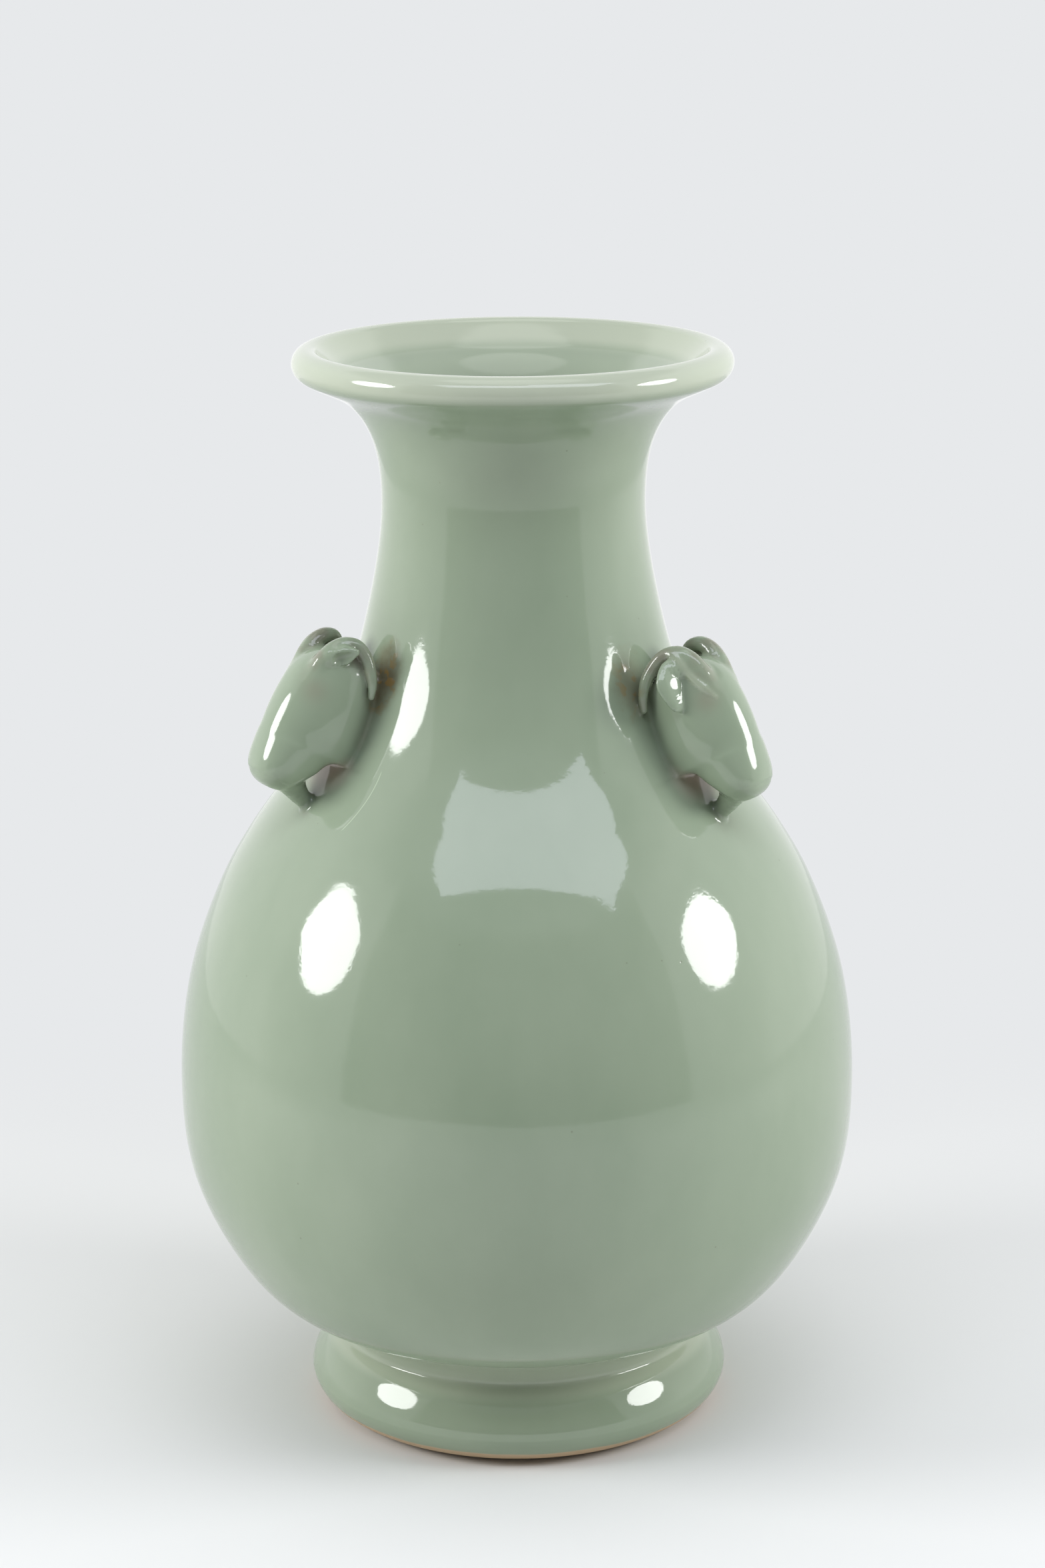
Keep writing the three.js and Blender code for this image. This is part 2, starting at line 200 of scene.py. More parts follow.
def section_piece(name, spans, solid, extra=()):
    """A piece from stretches of the section, each with its first and last place and the spacing of
    its rings, and any plain points that close it."""
    picks = [taken(*span) for span in spans]
    points = [section[p] for p in picks]
    normals = [section_normals[p] for p in picks]
    ends = set(np.cumsum([len(p) for p in picks]) - 1)
    if len(extra):
        points.append(np.array(extra, float))
        normals.append(np.zeros((len(extra), 2)))
        start = sum(len(p) for p in picks)
        ends |= set(range(start, start + len(extra)))
    return turned(name, np.vstack(points), np.vstack(normals), ends, solid)


# The foot ring: a thick collar of clay with a swelling outer face and an open recess inside it,
# trimmed when leather-hard. It stands on a narrow flat ring with a bevelled inner edge.
RING_INSIDE = 41
RING_BEVEL = 1
STANDING_EDGE = FOOT_EDGE[0] - 0.8
waist = joint(FOOT_HEIGHT)
waist_height = section[waist][1]
foot = section_piece("foot_ring_glazed", [(0, waist, 0.7)], "foot_ring", extra=[
    (RING_INSIDE, waist_height), (RING_INSIDE, RING_BEVEL), (RING_INSIDE + RING_BEVEL, 0),
    (STANDING_EDGE, 0)])

# The lower body: a thrown bowl with the vase's floor in it, from the foot to the widest part of the
# belly. Its flat underside closes the recess of the foot ring.
belly_out, belly_in = joint(BELLY_HEIGHT), joint(BELLY_HEIGHT, inside=True)
bowl = section_piece("lower_body_glazed", [(waist, belly_out, 1.5), (belly_in, last, 4)],
                     "lower_body", extra=[(0, waist_height)])

# The upper body: a second thrown bowl luted on upside down, drawn in from the belly to the root of
# the neck. It carries the ram's heads.
neck_out, neck_in = joint(NECK_JOINT), joint(NECK_JOINT, inside=True)
shoulder = section_piece("upper_body_glazed", [(belly_out, neck_out, 1.5), (neck_in, belly_in, 3)],
                         "upper_body")

# The neck and the mouth: a slim thrown tube, and the trumpet flare above it with a rim that was
# folded over and rolled into a round lip.
mouth_out, mouth_in = joint(MOUTH_JOINT), joint(MOUTH_JOINT, inside=True)
neck = section_piece("neck_glazed", [(neck_out, mouth_out, 1.5), (mouth_in, neck_in, 3)], "neck")
mouth = section_piece("mouth_glazed", [(mouth_out, mouth_in, 0.8)], "mouth")
thrown = [foot, bowl, shoulder, neck, mouth]


# Celadon: a clear glaze with a little iron, fired in a smoky kiln, mirror-smooth over grey clay. It
# lies thin and pale or brownish on edges, pools darker in hollows, breaks to rust where iron
# gathered, and has bubbles and specks. The foot's edge was wiped bare and fired orange. Light and
# shade are painted into it as well: lighter in the waist, inside the mouth and behind the beards,
# darker in the creases and in the horns' curls.
def node(tree, kind, inputs=(), out=0, **settings):
    """Adds a shader node and gives back one of its outputs. Inputs are values or other nodes'
    outputs, in the node's own order or by name or number."""
    made = tree.nodes.new("ShaderNode" + kind)
    for key, value in settings.items():
        setattr(made, key, value)
    for key, value in inputs.items() if isinstance(inputs, dict) else enumerate(inputs):
        if isinstance(value, bpy.types.NodeSocket):
            tree.links.new(value, made.inputs[key])
        else:
            made.inputs[key].default_value = value
    return made.outputs[out] if made.outputs else None


def srgb(code, alpha=1.0):
    """A hex colour as Blender's linear one."""
    parts = [int(code[i:i + 2], 16) / 255 for i in (1, 3, 5)]
    return (*[c / 12.92 if c <= 0.04045 else ((c + 0.055) / 1.055) ** 2.4 for c in parts], alpha)


# The patterns of the glaze, with the size of a patch in millimetres and the detail in it. A light
# patch and a dark one make one wave. Places and heights in the glaze are in metres.
PATTERNS = (("drift", 24, 4), ("horns", 4, 2), ("iron", 5, 3), ("wiping", 9, 2), ("swell", 15, 1),
            ("peel", 0.8, 1.5), ("gloss", 30, 3), ("stain", 2.5, 4), ("rust", 1.8, 2),
            ("healing", 5, 1))
WAVES_PER_METRE = 1000 / 2
RUN_DOWN = (1, 1, 0.6)
IRON_STAINS = (((-0.0342, -0.0262, 0.2145), 0.8), ((0.0303, -0.0305, 0.2125), 0.45))
SPECK_CELLS_PER_METRE = 210
SPECK_SHARE = 0.07
HAIRLINE_BEND = (-0.0591, -0.0207, 0.1927)
HAIRLINE_RADIUS = 0.0318
GLAZE_IOR = 1.55
SMOOTH = {"interpolation_type": "SMOOTHSTEP"}
TIMES = {"operation": "MULTIPLY"}
TIMES_PLUS = {"operation": "MULTIPLY_ADD"}

celadon = bpy.data.materials.new("celadon_glaze")
celadon.use_nodes = True
glaze = celadon.node_tree
glaze.nodes.clear()
place = node(glaze, "TexCoord", out="Object")
height = node(glaze, "SeparateXYZ", (place,), out="Z")
sideward = node(glaze, "SeparateXYZ", (place,), out="X")
run_down = node(glaze, "VectorMath", (place, RUN_DOWN), **TIMES)
found = {name: node(glaze, "Attribute", attribute_name=name, out="Fac")
         for name in ("inside", "horn", "crease", "hollow", "eye", "ridge", "unglazed_and_lit")}
pattern = {}
for seed, (name, size, detail) in enumerate(PATTERNS, 1):
    pattern[name] = node(glaze, "TexNoise", {
        "Vector": run_down if name == "drift" else place, "W": seed, "Detail": detail,
        "Scale": WAVES_PER_METRE / size, "Roughness": 0.55}, noise_dimensions="4D")

# Painted light: paler in the waist above the foot, as if lit by the table, and inside the mouth,
# as if lit from above. Thin and pale over the clay on the lip, and brownish on the horns
bounce_light_begins = node(glaze, "MapRange", (height, 0.0175, 0.0205), **SMOOTH)
bounce_light_ends = node(glaze, "MapRange", (height, 0.026, 0.038, 1, 0), **SMOOTH)
waist_bounce_light = node(glaze, "Math", (bounce_light_begins, bounce_light_ends), **TIMES)
lip_thin = node(glaze, "MapRange", (height, 0.2915, 0.2955), **SMOOTH)
horn_patches = node(glaze, "MapRange", (pattern["horns"], 0.35, 0.65), **SMOOTH)
horn_thin = node(glaze, "Math", (found["horn"], horn_patches), **TIMES)
tints = [("#C6CCB8", 0.4, waist_bounce_light), ("#C3CAB8", 0.2, found["inside"]),
         ("#C0C7B3", 0.75, lip_thin), ("#857F70", 0.7, horn_thin)]

# Pooled darker in the creases, with painted shade there too, and browned with iron; painted dark
# brown shade in the horns' curls; a little brown on the eyes, pale on the brow ridges; and bare
# behind the beards, where the glaze didn't reach the clay, painted pale as if lit through the gap
pooled_and_shaded = node(glaze, "Math", (found["crease"], 1.6), operation="POWER")
iron_patches = node(glaze, "MapRange", (pattern["iron"], 0.42, 0.62), **SMOOTH)
rusty = node(glaze, "Math", (pooled_and_shaded, iron_patches), **TIMES)
tints += [("#5B6955", 0.9, pooled_and_shaded), ("#6E5B48", 0.5, rusty), ("#4E4236", 0.75, found["hollow"]),
          ("#8A7F70", 0.4, found["eye"]), ("#B2BAA4", 0.55, found["ridge"]),
          ("#B9AB9C", 0.8, found["unglazed_and_lit"])]

# Stains where a grain of iron melted into the glaze, one by each horn in sight
rust_patches = node(glaze, "MapRange", (pattern["rust"], 0.52, 0.62), **SMOOTH)
for spot, strength in IRON_STAINS:
    off = node(glaze, "VectorMath", (place, spot), operation="SUBTRACT")
    off = node(glaze, "VectorMath", (off, RUN_DOWN), **TIMES)
    off = node(glaze, "VectorMath", (off,), operation="LENGTH", out="Value")
    ragged = node(glaze, "Math", (pattern["stain"], 0.006, off), **TIMES_PLUS)
    stain = node(glaze, "MapRange", (ragged, 0.0045, 0.0115, 1, 0), **SMOOTH)
    rust = node(glaze, "Math", (stain, rust_patches), **TIMES)
    tints += [("#6E6248", strength, stain), ("#8F7440", strength, rust)]

# Specks of iron, and pinholes left by bubbles that burst, each in a cell of its own
from_speck = node(glaze, "TexVoronoi", {"Vector": place, "Scale": SPECK_CELLS_PER_METRE,
                                        "Randomness": 1})
lot = node(glaze, "SeparateXYZ", (from_speck.node.outputs["Color"],), out="X")
chosen = node(glaze, "Math", (lot, 1 - SPECK_SHARE), operation="GREATER_THAN")
round_speck = node(glaze, "MapRange", (from_speck, 0.02, 0.075, 1, 0), **SMOOTH)
speck = node(glaze, "Math", (chosen, round_speck), **TIMES)
tints += [("#6F705C", 0.5, speck)]

# A hairline below the left head, where the glaze cracked and ran together again. It lies where the
# wall meets a sphere.
from_bend = node(glaze, "VectorMath", (place, HAIRLINE_BEND), operation="DISTANCE", out="Value")
off_line = node(glaze, "Math", (from_bend, HAIRLINE_RADIUS), operation="SUBTRACT")
off_line = node(glaze, "Math", (off_line,), operation="ABSOLUTE")
hairline = node(glaze, "MapRange", (off_line, 0.00006, 0.00021, 1, 0), **SMOOTH)
for limit in ((height, 0.1782, 0.1792), (height, 0.1927, 0.1937, 1, 0), (sideward, -0.050, -0.048),
              (pattern["healing"], 0.2, 0.6)):
    within = node(glaze, "MapRange", limit, **SMOOTH)
    hairline = node(glaze, "Math", (hairline, within), **TIMES)
tints += [("#BACBAE", 0.75, hairline)]

# Bare fired clay along the foot's edge
wiped_to = node(glaze, "Math", (pattern["wiping"], 0.0016, height), **TIMES_PLUS)
bare = node(glaze, "MapRange", (wiped_to, 0.0050, 0.0058, 1, 0), **SMOOTH)
tints += [("#C4AA88", 1, bare)]

colour = node(glaze, "ValToRGB", (pattern["drift"],))
for stop, position, code in zip(colour.node.color_ramp.elements, (0.32, 0.68),
                                ("#8D9D85", "#98A68F")):
    stop.position, stop.color = position, srgb(code)
for code, strength, where in tints:
    amount = node(glaze, "Math", (where, strength), **TIMES)
    colour = node(glaze, "Mix", {0: amount, 6: colour, 7: srgb(code)}, out=2, data_type="RGBA")

# The surface: slow swells from the wheel, a fine orange peel, and pits at the specks
normal = node(glaze, "Bump", {"Height": pattern["swell"], "Strength": 1, "Distance": 0.00012})
normal = node(glaze, "Bump", {"Height": pattern["peel"], "Strength": 1, "Distance": 0.000012,
                              "Normal": normal})
normal = node(glaze, "Bump", {"Height": speck, "Strength": 0.5, "Distance": 0.00004,
                              "Normal": normal}, invert=True)
rough = node(glaze, "Math", (pattern["gloss"], 0.05, 0.035), **TIMES_PLUS)
rough = node(glaze, "Math", (bare, 0.55, rough), **TIMES_PLUS)
surface = node(glaze, "BsdfPrincipled", {"Base Color": colour, "Normal": normal,
                                         "Roughness": rough, "IOR": GLAZE_IOR})
node(glaze, "OutputMaterial", (surface,))
for piece in thrown:
    piece.data.materials.append(celadon)


# The ram's heads: pressed in a mould from the same clay, with rolled horns, pinched ears and a
# beard, and luted on the shoulder with slip before glazing. The glaze runs over the joints, so each
# head is one skin, which is drawn here as distances from its forms. Points are in millimetres down
# the face from the poll, out from it and across it.
POLL = (50.99, 224.0)
FACE_SLOPE = math.radians(60)
# Down the face, then the section's top, its underside and its half width
HEAD = (
    (1.8, 0.4, -2.5, 0.3), (2.6, 3.0, -9, 6.2), (4.8, 6.6, -12.5, 8.9), (10, 9.9, -14.5, 10.4),
    (17, 10.9, -15.8, 11.0), (24, 10.9, -16.8, 10.9), (28.2, 10.5, -16.5, 10.3),
    (30.8, 10.1, -9.8, 9.7), (35, 9.3, -7.2, 8.8), (38, 8.4, -4.6, 7.8), (40, 6.8, -2.0, 5.6),
    (40.6, 5.0, 0.5, 3.0),
)
MUZZLE = (33.4, 2.2, 0)
MUZZLE_RADII = (9.8, 6.8, 8.6)
MUZZLE_SQUARENESS = 2.5
HORN = ((12, 6.0, 4.8), (6.8, 6.2, 5.4), (2.9, 5.2, 6.0), (0.2, 2.9, 6.6), (-0.6, -0.4, 7.6),
        (1.0, -3.9, 9.0), (3.7, -6.7, 10.2), (6.9, -8.8, 10.8), (9.8, -10.0, 10.8))
HORN_RADII = (2.6, 2.5, 2.3, 2.1, 1.9, 1.7, 1.5, 1.2, 0.8)
HORN_WEB = ((4.4, 3.4, 6.6), (2.4, 0.8, 7.2), (3.6, -2.8, 8.0))
WEB_RADII = (2.2, 2.3, 1.8)
PRICKED_EAR = ((6.8, 6.2, 6.0), (4.8, 4.8, 7.4), (2.8, 3.0, 9.2), (0.9, 1.2, 10.7))
PRICKED_RADII = (1.6, 2.6, 2.6, 1.0)
EAR_HOLLOW_OFF = (0, -0.5, 2.8)
EAR_HOLLOW_RADII = (2.0, 2.0, 1.0)
HANGING_EAR = ((5.0, 4.6, 7.2), (4.2, 1.1, 9.8), (7.0, 0.0, 11.6), (11.4, -0.5, 11.4))
HANGING_RADII = (1.6, 3.6, 4.6, 3.2)
HANGING_EAR_FACES = (0.12, 0.94, 0.32)
BROW_RIDGE = ((0.2, 2.2, 8.4), (1.9, 3.3, 8.5), (3.7, 3.9, 8.4), (5.9, 4.2, 8.1), (8.0, 4.8, 8.0),
              (11.4, 6.3, 7.6), (15.0, 7.6, 6.5))
RIDGE_RADII = (0.6, 0.9, 1.0, 1.0, 1.0, 0.9, 0.4)
EYE = (14.8, 5.6, 7.4)
EYE_RADIUS = 3.2
BEARD = ((36.8, -1.5, 0), (40.0, -4.8, 0), (42.4, -10.0, 0), (43.9, -15.0, 0))
BEARD_RADII = (4, 3.3, 2.2, 1.6)
UNDER_CHIN = (31, -12.5, 0)
UNGLAZED_AND_LIT_RADIUS = 5.5
UNGLAZED_AND_LIT_STRETCH = (1, 1, 1.4)
POOL_AND_SHADE_REACH = 2.4
HORN_TINT_REACH = 0.7
RIDGE_TINT_REACH = 0.3
RAMS = {
    "left": dict(turn=-62.5, drop=0.0, sunk=-0.3, brow=2.2, curl=1.3, slip=3.2, ridged=False),
    "right": dict(turn=58.0, drop=2.3, sunk=0.8, brow=2.05, curl=-1.3, slip=4.0, ridged=True),
    "back": dict(turn=178.0, drop=1.2, sunk=0.3, brow=2.2, curl=0.2, slip=3.6, ridged=False),
}
FAR = 1e9
BURIED = 3
SKIN_STEP = 0.6
RAM_ROOM = ((-18, 40, 171), (18, 84, 233))
RAM_MIDDLE = (0, 62, 205)
RAM_REACH = 45
head_line = smooth_path(HEAD, steps=24)


def joined(a, b, blend):
    """The nearer of two forms, with the corner between them filled over a blend."""
    h = np.maximum(blend - np.abs(a - b), 0) / blend
    return np.minimum(a, b) - h ** 3 * blend / 6


def rod(points, path, radii, steps=4, flat=1.0, facing=(0, 0, 1)):
    """Distance from a tapered rod along a smooth path, so many times thinner one way than wide."""
    line = smooth_path(path, steps)
    size = np.interp(np.linspace(0, len(path) - 1, len(line)), np.arange(len(path)), radii)
    best = np.full(len(points), FAR)
    for a, b, ra, rb in zip(line[:-1], line[1:], size[:-1], size[1:]):
        ab = b - a
        t = np.clip((points - a) @ ab / (ab @ ab), 0, 1)
        off = points - a - t[:, None] * ab
        far = np.linalg.norm(off, axis=1)
        wide = ra + (rb - ra) * t
        if flat != 1:
            faced = off @ np.array(facing) / np.maximum(far, 1e-6)
            wide = wide / np.sqrt(1 + (flat ** 2 - 1) * faced ** 2)
        best = np.minimum(best, far - wide)
    return best


def loft(down, out, across, brow):
    """How far outside its section of the head a point is, as a share of the section's size. Brow
    is how square the section's upper half is, where 2 is an ellipse."""
    top, low, half = (np.interp(down, head_line[:, 0], head_line[:, k]) for k in (1, 2, 3))
    middle, tall = (top + low) / 2, np.maximum((top - low) / 2, 0.1)
    u, v = across / half, (out - middle) / tall
    base = np.interp(down, (8, 28), (1.9, 2.8))
    square = (brow + base) / 2 + (brow - base) / 2 * np.tanh(2 * v)
    return (np.maximum(u, 1e-6) ** square
            + np.maximum(np.abs(v), 1e-6) ** square) ** (1 / square) - 1


def head_form(points, brow):
    """Distance from the lofted head."""
    down, out, across = points.T
    held = np.clip(down, head_line[0, 0] + 0.02, head_line[-1, 0] - 0.02)
    e = 0.05
    f = loft(held, out, across, brow)
    lean = (loft(held + e, out, across, brow) - f) / e
    level = np.hypot(loft(held, out + e, across, brow) - f,
                     loft(held, out, across + e, brow) - f) / e
    level = np.maximum(level, 1e-3)
    d = f / level * np.maximum(1 / np.sqrt(1 + (lean / level) ** 2), 0.5)
    past = np.abs(down - held)
    return np.where(past > 0, np.hypot(np.maximum(d, 0), past), d)


def muzzle_form(points):
    """Distance from the muzzle, a squarish ellipsoid."""
    square = MUZZLE_SQUARENESS
    share = np.maximum(np.abs((points - MUZZLE) / MUZZLE_RADII), 1e-3)
    f = (share ** square).sum(axis=1) ** (1 / square)
    slope = np.linalg.norm(share ** (square - 1) / MUZZLE_RADII, axis=1) * f ** (1 - square)
    return (f - 1) / slope


def ridge_form(points, ram):
    """Distance from the ridge along each brow, on a ram that has it."""
    return rod(points, BROW_RIDGE, RIDGE_RADII) if ram["ridged"] else np.full(len(points), FAR)


def ear_form(points, ram):
    """Distance from an ear, which hangs over the horn on the ridged head, and on the others is
    pricked and hollow."""
    if ram["ridged"]:
        return rod(points, HANGING_EAR, HANGING_RADII, flat=3, facing=HANGING_EAR_FACES)
    ear = rod(points, PRICKED_EAR, PRICKED_RADII, flat=1.8)
    hollow = rod(points, np.array(PRICKED_EAR)[1:] + EAR_HOLLOW_OFF, EAR_HOLLOW_RADII)
    return -joined(-ear, hollow, blend=0.7)


def ram_forms(points, ram):
    """Distances from the parts of a ram, the same on both sides of its middle, and from the thin
    web of clay under the horns, which is painted dark as shade. Sunk is how far a face leans in at
    the muzzle, and curl is how far out the horns' free ends stand."""
    p = np.stack([points[:, 0], points[:, 1], np.abs(points[:, 2])], axis=1)
    face = p.copy()
    face[:, 1] += (ram["sunk"] * np.clip((p[:, 0] - 6) / 25, 0, 1.3)
                   * np.clip((p[:, 1] + 6) / 8, 0, 1))
    head = joined(head_form(face, ram["brow"]), muzzle_form(face), blend=3)
    head = joined(head, ridge_form(p, ram), blend=0.9)
    horn_path = np.array(HORN)
    horn_path[:, 1] += ram["curl"] * np.clip((np.arange(len(HORN)) - 3) / 3, 0, 1)
    horn = rod(p, horn_path, HORN_RADII)
    beard = rod(face, BEARD, BEARD_RADII)
    web = rod(p, HORN_WEB, WEB_RADII, flat=3)
    return head, ear_form(p, ram), horn, beard, web


def ram_form(points, ram):
    """Distance from a whole ram."""
    head, ear, horn, beard, web = ram_forms(points, ram)
    horn = joined(horn, web, blend=1)
    return joined(joined(joined(head, horn, blend=2.2), ear, blend=1.4), beard, blend=4)


wall_z = np.linspace(FOOT_HEIGHT + 2, 290, 2000)
wall_r = np.interp(wall_z, wall_line[:, 1], wall_line[:, 0])
wall_lean = np.gradient(wall_r, wall_z)


def wall_form(radius, height):
    """Distance outside the vase's wall."""
    r = np.interp(height, wall_z, wall_r)
    return (radius - r) / np.sqrt(1 + np.interp(height, wall_z, wall_lean) ** 2)


def on_face(points, drop):
    """From across, radius and height on the vase to down, out and across on the face."""
    across, radius, height = points.T
    dr, dz = radius - POLL[0], height - POLL[1]
    c, s = math.cos(FACE_SLOPE), math.sin(FACE_SLOPE)
    return np.stack([dr * c - dz * s - drop, dr * s + dz * c, across], axis=1)


def luted(points, ram):
    """The skin of a ram and the slip and glaze round its joints, closed inside the wall."""
    bare_ram = ram_form(on_face(points, ram["drop"]), ram)
    wall = wall_form(np.hypot(points[:, 0], points[:, 1]), points[:, 2]) + 0.02
    skin = joined(bare_ram, wall, ram["slip"])
    return np.maximum(np.maximum(skin, bare_ram - ram["slip"] - 0.5), -wall - BURIED)


def slopes(form, points, e=0.04):
    """The way each point's distance grows fastest."""
    steps = np.eye(3) * e
    return np.stack([(form(points + s) - form(points - s)) / (2 * e) for s in steps], axis=1)


def skinned(form, low, high, step):
    """A mesh of four-sided faces over a form's surface, with one point in each cell of a grid that
    the surface passes. The form is measured coarsely first, and then only near the surface."""
    coarse = 4
    sides = [a + step * np.arange(coarse * int((b - a) / step / coarse) + 1)
             for a, b in zip(low, high)]
    grid = np.stack(np.meshgrid(*sides, indexing="ij"), axis=-1)
    sparse = grid[::coarse, ::coarse, ::coarse]
    f = form(sparse.reshape(-1, 3)).reshape(sparse.shape[:3])
    for axis in range(3):
        f = np.repeat(f, coarse, axis=axis)
        nearest = np.clip(np.arange(grid.shape[axis]) + coarse // 2, 0, f.shape[axis] - 1)
        f = np.take(f, nearest, axis=axis)
    near = np.abs(f) < 4.5 * step
    f[near] = form(grid[near])
    total = np.zeros(tuple(n - 1 for n in f.shape) + (3,))
    count = np.zeros(tuple(n - 1 for n in f.shape))
    crossings = []
    for axis in range(3):
        a = np.moveaxis(f, axis, 0)
        cut = (a[:-1] < 0) != (a[1:] < 0)
        share = np.where(cut, a[:-1] / np.where(cut, a[:-1] - a[1:], 1), 0)
        edge = np.argwhere(cut)
        crossed = edge.astype(float)
        crossed[:, 0] += share[cut]
        outward = a[:-1][cut] < 0
        others = [k for k in range(3) if k != axis]
        back = np.argsort([axis] + others)
        edge, crossed = edge[:, back], crossed[:, back]
        inner = np.all([(edge[:, k] > 0) & (edge[:, k] < f.shape[k] - 1) for k in others], axis=0)
        edge, crossed, outward = edge[inner], crossed[inner], outward[inner]
        around = []
        for u, v in ((0, 0), (1, 0), (1, 1), (0, 1)):
            cell = edge.copy()
            cell[:, others[0]] -= u
            cell[:, others[1]] -= v
            around.append(cell)
            np.add.at(total, tuple(cell.T), crossed)
            np.add.at(count, tuple(cell.T), 1)
        crossings.append((around, outward if axis != 1 else ~outward))
    used = count > 0
    number = np.full(count.shape, -1)
    number[used] = np.arange(used.sum())
    verts = np.array(low) + total[used] / count[used][:, None] * step
    faces = []
    for around, outward in crossings:
        quad = np.stack([number[tuple(cell.T)] for cell in around], axis=1)
        faces.append(np.where(outward[:, None], quad[:, ::-1], quad))
    return verts, np.vstack(faces)


def outward_normals(form, points, proud, radius):
    """The form's normals, which turn to the wall's own where the skin runs out on it, so that no
    edge shows there. Proud is how far each point stands out from the wall."""
    found = slopes(form, points)
    found /= np.maximum(np.linalg.norm(found, axis=1), 1e-6)[:, None]
    wall = np.stack([points[:, 0] / radius, points[:, 1] / radius,
                     -np.interp(points[:, 2], wall_z, wall_lean)], axis=1)
    wall /= np.linalg.norm(wall, axis=1)[:, None]
    share = np.clip((proud - 0.03) / 0.3, 0, 1)[:, None]
    share = np.where(proud[:, None] < -0.5, 1, share * share * (3 - 2 * share))
    found = wall + (found - wall) * share
    return found / np.linalg.norm(found, axis=1)[:, None]


def kept(mesh, name, values):
    """Keeps a value for each point of a mesh, for its material to read."""
    stored = mesh.attributes.new(name, "FLOAT", "POINT")
    stored.data.foreach_set("value", np.asarray(values, np.float32))


def crease(ram, wall):
    """How much slip, glaze and iron gather at a place, and how much shade is painted there, from
    how near both surfaces are.
    """
    return np.exp(-(np.maximum(ram, 0) + np.maximum(wall, 0)) / POOL_AND_SHADE_REACH)


def unglazed_and_lit(face):
    """Where the glaze didn't reach, on the wall behind the beard, which is also painted pale as if
    lit through the gap.
    """
    off = np.linalg.norm((face - UNDER_CHIN) / UNGLAZED_AND_LIT_STRETCH, axis=1)
    return np.clip(1.6 - off / UNGLAZED_AND_LIT_RADIUS, 0, 1)


body_points = [np.array([v.co for v in piece.data.vertices]) / MM for piece in thrown]
body_creases = [np.zeros(len(points)) for points in body_points]
body_unglazed_and_lit = [np.zeros(len(points)) for points in body_points]
for name, ram in RAMS.items():
    def form(points, ram=ram):
        return luted(points, ram)

    verts, faces = skinned(form, *RAM_ROOM, SKIN_STEP)
    for _ in range(2):
        slope = slopes(form, verts)
        move = form(verts) / np.maximum((slope ** 2).sum(axis=1), 0.25)
        verts -= np.clip(move, -0.25, 0.25)[:, None] * slope
    radius = np.hypot(verts[:, 0], verts[:, 1])
    proud = wall_form(radius, verts[:, 2])
    normals = outward_normals(form, verts, proud, radius)
    a = math.radians(ram["turn"])
    spin = np.array([[math.cos(a), math.sin(a), 0], [math.sin(a), -math.cos(a), 0], [0, 0, 1]])
    mesh = bpy.data.meshes.new(name + "_ram_glazed")
    mesh.from_pydata([tuple(v) for v in verts @ spin * MM], [], faces.tolist())
    mesh.polygons.foreach_set("use_smooth", [True] * len(faces))
    mesh.normals_split_custom_set_from_vertices([tuple(n) for n in normals @ spin])
    face = on_face(verts, ram["drop"])
    parts = ram_forms(face, ram)
    horn, web = parts[2], parts[4]
    face[:, 2] = np.abs(face[:, 2])
    kept(mesh, "crease", crease(np.minimum.reduce(parts), proud))
    kept(mesh, "horn", np.exp(-np.maximum(horn, 0) / HORN_TINT_REACH))
    # Painted shade: the web in the horns' curls is tinted dark brown
    kept(mesh, "hollow", np.exp(-np.maximum(web, 0) / HORN_TINT_REACH))
    kept(mesh, "eye", np.exp(-(np.linalg.norm(face - EYE, axis=1) / EYE_RADIUS) ** 2))
    kept(mesh, "unglazed_and_lit", unglazed_and_lit(face))
    kept(mesh, "ridge", np.exp(-np.maximum(ridge_form(face, ram), 0) / RIDGE_TINT_REACH))
    for points, creased, bare_and_lit in zip(body_points, body_creases, body_unglazed_and_lit):
        local = points @ spin.T
        near = np.linalg.norm(local - RAM_MIDDLE, axis=1) < RAM_REACH
        face = on_face(local[near], ram["drop"])
        d = ram_form(face, ram)
        creased[near] = np.maximum(creased[near], crease(d, np.zeros(len(d))))
        bare_and_lit[near] = np.maximum(bare_and_lit[near], unglazed_and_lit(face))
    piece = bpy.data.objects.new(name + "_ram_glazed", mesh)
    bpy.context.scene.collection.objects.link(piece)
    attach(piece, "root")
    solids = ("head", "beard", "left_horn", "left_ear", "right_horn", "right_ear")
    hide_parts(*[name + "_ram_" + solid for solid in solids])
    mesh.materials.append(celadon)
for piece, points, creased, bare_and_lit in zip(thrown, body_points, body_creases, body_unglazed_and_lit):
    kept(piece.data, "crease", creased)
    kept(piece.data, "unglazed_and_lit", bare_and_lit)
    depth = -wall_form(np.hypot(points[:, 0], points[:, 1]), points[:, 2])
    kept(piece.data, "inside", (depth > WALL / 2) & (points[:, 2] > NECK_JOINT))


# The table: a large board painted matt white, which the foot stands on. Behind the vase and at its
# rim it fades into the backdrop, both for the camera and where the glaze mirrors it. Lengths from
# here on are in metres.
BACKGROUND = "#E7E9EB"
BOARD_WHITE = "#DDDEDC"
BOARD_RINGS = (0.06, 0.12, 0.25, 0.5, 0.8, 1.02)
BOARD_SIDES = 96
verts, faces = [(0, 0, 0)], []
for r in BOARD_RINGS:
    verts += [(r * math.sin(a), -r * math.cos(a), 0)
              for a in np.linspace(0, 2 * math.pi, BOARD_SIDES, False)]
for j in range(BOARD_SIDES):
    j2 = (j + 1) % BOARD_SIDES
    faces.append((0, 1 + j, 1 + j2))
    for i in range(len(BOARD_RINGS) - 1):
        a, b = 1 + BOARD_SIDES * i, 1 + BOARD_SIDES * (i + 1)
        faces.append((a + j, b + j, b + j2, a + j2))
table_mesh = bpy.data.meshes.new("table")
table_mesh.from_pydata(verts, [], faces)
table = bpy.data.objects.new("table", table_mesh)
bpy.context.scene.collection.objects.link(table)

